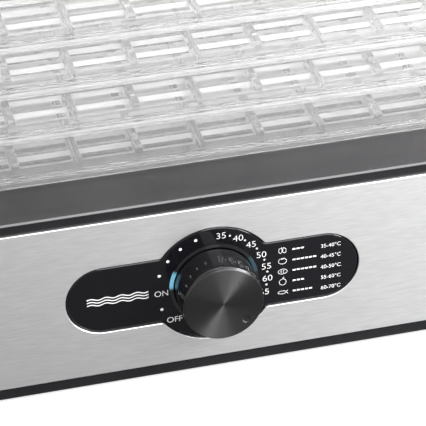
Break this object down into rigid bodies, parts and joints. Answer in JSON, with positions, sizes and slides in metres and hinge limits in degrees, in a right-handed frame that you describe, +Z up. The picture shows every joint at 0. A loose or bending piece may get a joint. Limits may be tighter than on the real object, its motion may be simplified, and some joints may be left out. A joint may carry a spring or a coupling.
{
  "type": "food dehydrator",
  "caption": "Rectangular food dehydrator: a low black and brushed steel base with a dial and a bottom fan, a stack of clear slotted trays and a vented clear lid.",
  "frame": {"origin": "on the table, under the middle of the whole object", "axes": "+X to the right as seen from the front, +Y towards the back (the dial faces -Y), +Z up"},
  "size_m": [0.418, 0.3364, 0.258],
  "materials": {
    "case_plastic": "fine moulded texture, black",
    "deck_plastic": "polished black deck that reflects the room",
    "front_steel": "brushed along the width",
    "panel_plastic": "gloss black with printed white markings",
    "light_pipe": "frosted clear light pipe, lit pale blue",
    "circuit_board": "solder-masked board",
    "hidden_steel": "zinc-plated sheet and hardware",
    "shaft_aluminium": "turned bar",
    "soft_rubber": "moulded rubber",
    "motor_paint": "dark lacquered motor can",
    "mica_card": "pressed mica board",
    "heating_wire": "oxidised resistance wire",
    "terminal_plastic": "nylon terminal strip",
    "wire_sleeve": "sleeved wire",
    "knob_plastic": "polished black side",
    "knob_metal": "dark spun metal face",
    "impeller_plastic": "moulded glass-filled nylon",
    "clear_plastic": "clear colourless moulding"
  },
  "bodies": {
    "base": {"lower_case": "case_plastic", "bottom_cover": "case_plastic", "top_housing": "deck_plastic", "front_frame": "case_plastic", "front_plate": "front_steel", "control_panel": "panel_plastic", "light_ring": "light_pipe", "led_board": "circuit_board", "thermostat": "hidden_steel", "thermostat_bracket": "hidden_steel", "thermostat_nut": "hidden_steel", "air_duct": "hidden_steel", "duct_gasket": "soft_rubber", "outlet_grille": "case_plastic", "motor_bracket": "hidden_steel", "motor_grommets": "soft_rubber", "fan_motor": "motor_paint", "heater_frame": "mica_card", "heater_element": "heating_wire", "thermal_cutout": "hidden_steel", "terminal_block": "terminal_plastic", "cord_gland": "soft_rubber", "wiring_loom": "wire_sleeve", "foot_front_left": "soft_rubber", "foot_front_right": "soft_rubber", "foot_back_left": "soft_rubber", "foot_back_right": "soft_rubber", "case_screws": "hidden_steel", "cover_screws": "hidden_steel", "duct_screws": "hidden_steel", "motor_screws": "hidden_steel", "bracket_screws": "hidden_steel", "bracket_rivets": "hidden_steel"},
    "knob": {"thermostat_shaft": "shaft_aluminium", "knob_body": "knob_plastic", "knob_face": "knob_metal", "knob_clip": "hidden_steel"},
    "fan": {"motor_shaft": "hidden_steel", "fan_impeller": "impeller_plastic", "impeller_nut": "hidden_steel"},
    "tray_1": {"tray_1_rim": "clear_plastic", "tray_1_grid": "clear_plastic"},
    "tray_2": {"tray_2_rim": "clear_plastic", "tray_2_grid": "clear_plastic"},
    "tray_3": {"tray_3_rim": "clear_plastic", "tray_3_grid": "clear_plastic"},
    "tray_4": {"tray_4_rim": "clear_plastic", "tray_4_grid": "clear_plastic"},
    "tray_5": {"tray_5_rim": "clear_plastic", "tray_5_grid": "clear_plastic"},
    "lid": {"lid_rim": "clear_plastic", "lid_top": "clear_plastic", "lid_handle": "clear_plastic"}
  },
  "joints": [
    {"name": "knob_turn", "type": "hinge", "parent": "base", "child": "knob", "pos_m": [-0.004, -0.1478, 0.055], "axis": [0, -1, 0], "range_deg": [0, 265]},
    {"name": "fan_spin", "type": "hinge", "parent": "base", "child": "fan", "pos_m": [0, 0.0189, 0.06], "axis": [0, 0, 1], "continuous": true},
    {"name": "tray_1_lift", "type": "slide", "parent": "base", "child": "tray_1", "axis": [0, 0, 1], "range_m": [0, 0.06]},
    {"name": "tray_2_lift", "type": "slide", "parent": "tray_1", "child": "tray_2", "axis": [0, 0, 1], "range_m": [0, 0.06]},
    {"name": "tray_3_lift", "type": "slide", "parent": "tray_2", "child": "tray_3", "axis": [0, 0, 1], "range_m": [0, 0.06]},
    {"name": "tray_4_lift", "type": "slide", "parent": "tray_3", "child": "tray_4", "axis": [0, 0, 1], "range_m": [0, 0.06]},
    {"name": "tray_5_lift", "type": "slide", "parent": "tray_4", "child": "tray_5", "axis": [0, 0, 1], "range_m": [0, 0.06]},
    {"name": "lid_lift", "type": "slide", "parent": "tray_5", "child": "lid", "axis": [0, 0, 1], "range_m": [0, 0.06]}
  ]
}
